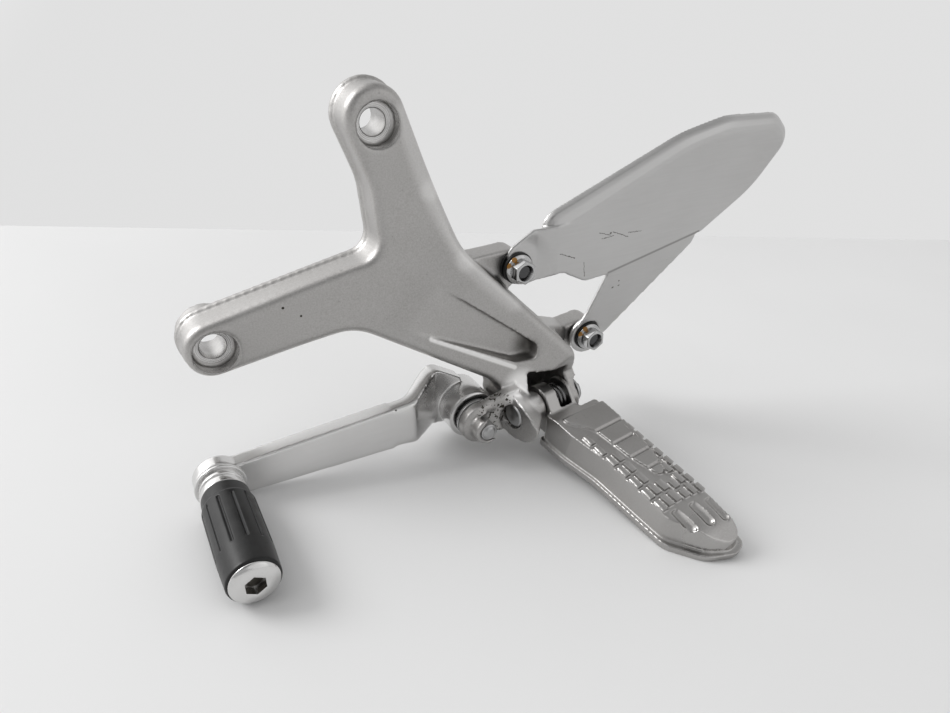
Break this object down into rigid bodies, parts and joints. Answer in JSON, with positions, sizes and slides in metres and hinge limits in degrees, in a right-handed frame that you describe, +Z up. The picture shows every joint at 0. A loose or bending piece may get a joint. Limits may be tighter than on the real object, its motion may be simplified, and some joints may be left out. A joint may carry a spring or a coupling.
{
  "type": "motorcycle footrest hanger",
  "caption": "Cast Y-shaped motorcycle footrest hanger with a folding rider footpeg, a pivoting gear lever with rubber toe peg, and a bolted sheet heel guard.",
  "frame": {"origin": "midway between the two frame bolts, on the mounting face of the bosses", "axes": "+X to the rear of the machine, +Y inward to the frame, +Z up"},
  "size_m": [0.3208, 0.1497, 0.178],
  "materials": {
    "cast_aluminium": "matte cast aluminium with a fine grain",
    "sheet_aluminium": "satin pressed sheet",
    "polished_aluminium": "polished forging with fine scratches",
    "steel": "plated steel, slightly dull",
    "dark_steel": "oiled spring steel",
    "bronze": "sintered bronze",
    "rubber": "black moulded rubber"
  },
  "bodies": {
    "hanger": {"hanger_casting": "cast_aluminium", "heel_guard": "sheet_aluminium", "guard_bolts": "steel", "guard_sleeves": "steel", "guard_grommets": "rubber", "peg_pivot_pin": "steel", "peg_pin_washer": "steel", "peg_pin_clip": "dark_steel", "peg_return_spring": "dark_steel", "lever_pivot_bolt": "steel", "lever_inner_washer": "steel", "lever_outer_washer": "steel", "lever_seal_ring": "rubber"},
    "footpeg": {"footpeg": "cast_aluminium"},
    "gear_lever": {"gear_lever": "polished_aluminium", "lever_bush": "bronze", "toe_peg_washer": "polished_aluminium", "toe_peg_core": "polished_aluminium", "toe_peg_rubber": "rubber", "toe_peg_screw": "steel"}
  },
  "joints": [
    {"name": "footpeg_fold", "type": "hinge", "parent": "hanger", "child": "footpeg", "pos_m": [0.1099, -0.0496, -0.0909], "axis": [-0.9877, -0.1564, 0], "range_deg": [0, 80], "stiffness_Nm_per_rad": 0.3, "springref_deg": -57.3, "deforming": ["peg_return_spring"]},
    {"name": "gear_lever_pivot", "type": "hinge", "parent": "hanger", "child": "gear_lever", "pos_m": [0.067, -0.034, -0.0915], "axis": [0, 1, 0], "range_deg": [-12, 12]}
  ]
}
